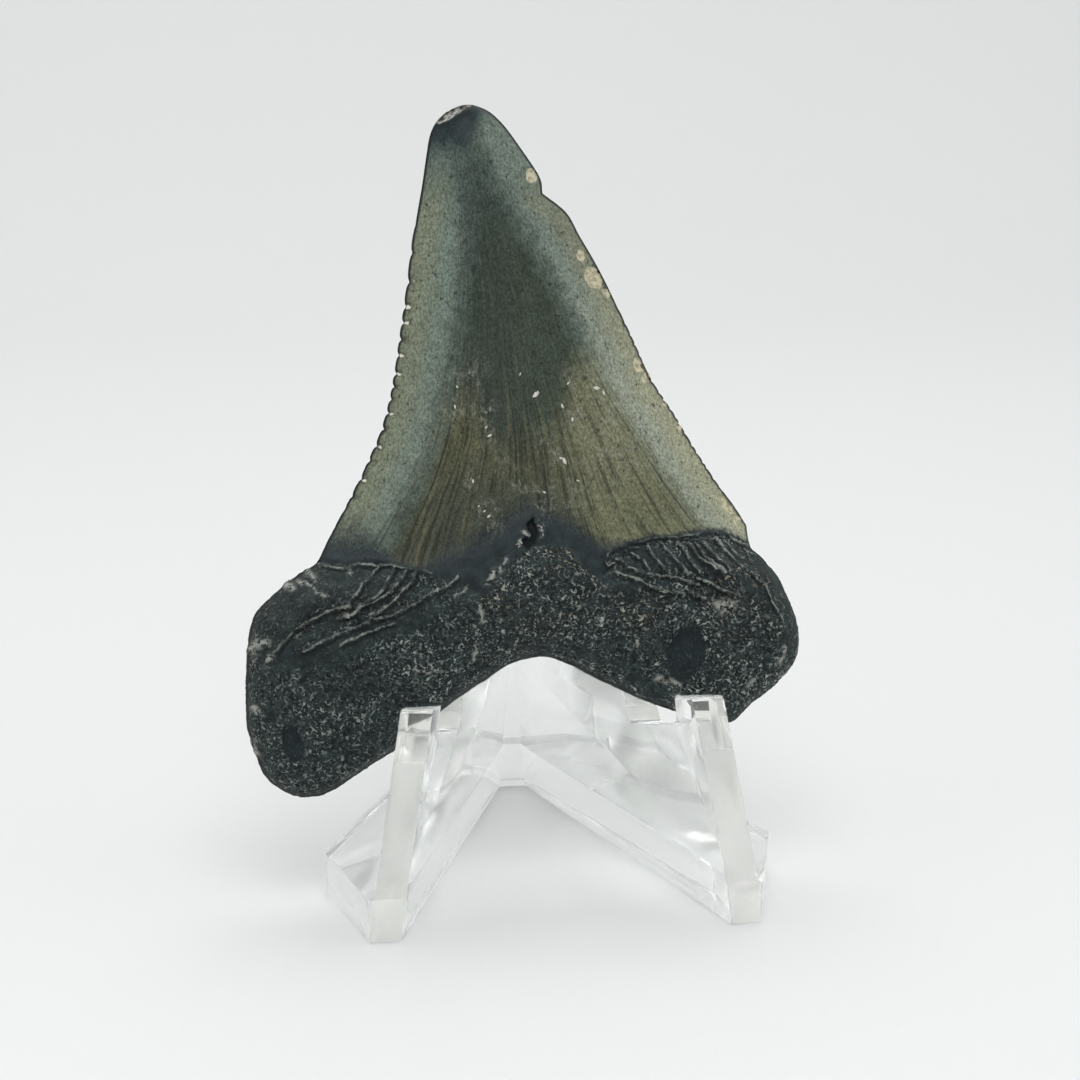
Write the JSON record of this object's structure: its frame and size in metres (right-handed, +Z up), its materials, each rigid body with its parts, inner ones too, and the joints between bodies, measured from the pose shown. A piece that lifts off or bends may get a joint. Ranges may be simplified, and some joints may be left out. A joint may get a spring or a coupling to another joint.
{
  "type": "megalodon tooth on easel",
  "caption": "Fossil shark tooth with serrated crown and porous two-lobed root, leaning in the two cradles of a clear V-shaped moulded easel.",
  "frame": {"origin": "centre of the bounding box in X and Y, on the surface the easel stands on", "axes": "+Z up; -Y is the side the tooth's face shows on; +X to the viewer's right"},
  "size_m": [0.0536, 0.0458, 0.0738],
  "materials": {
    "fossil": "satin enamel on the crown, dull porous root",
    "clear_plastic": "clear, polished"
  },
  "bodies": {
    "root": {"tooth": "fossil", "easel": "clear_plastic"}
  },
  "joints": []
}
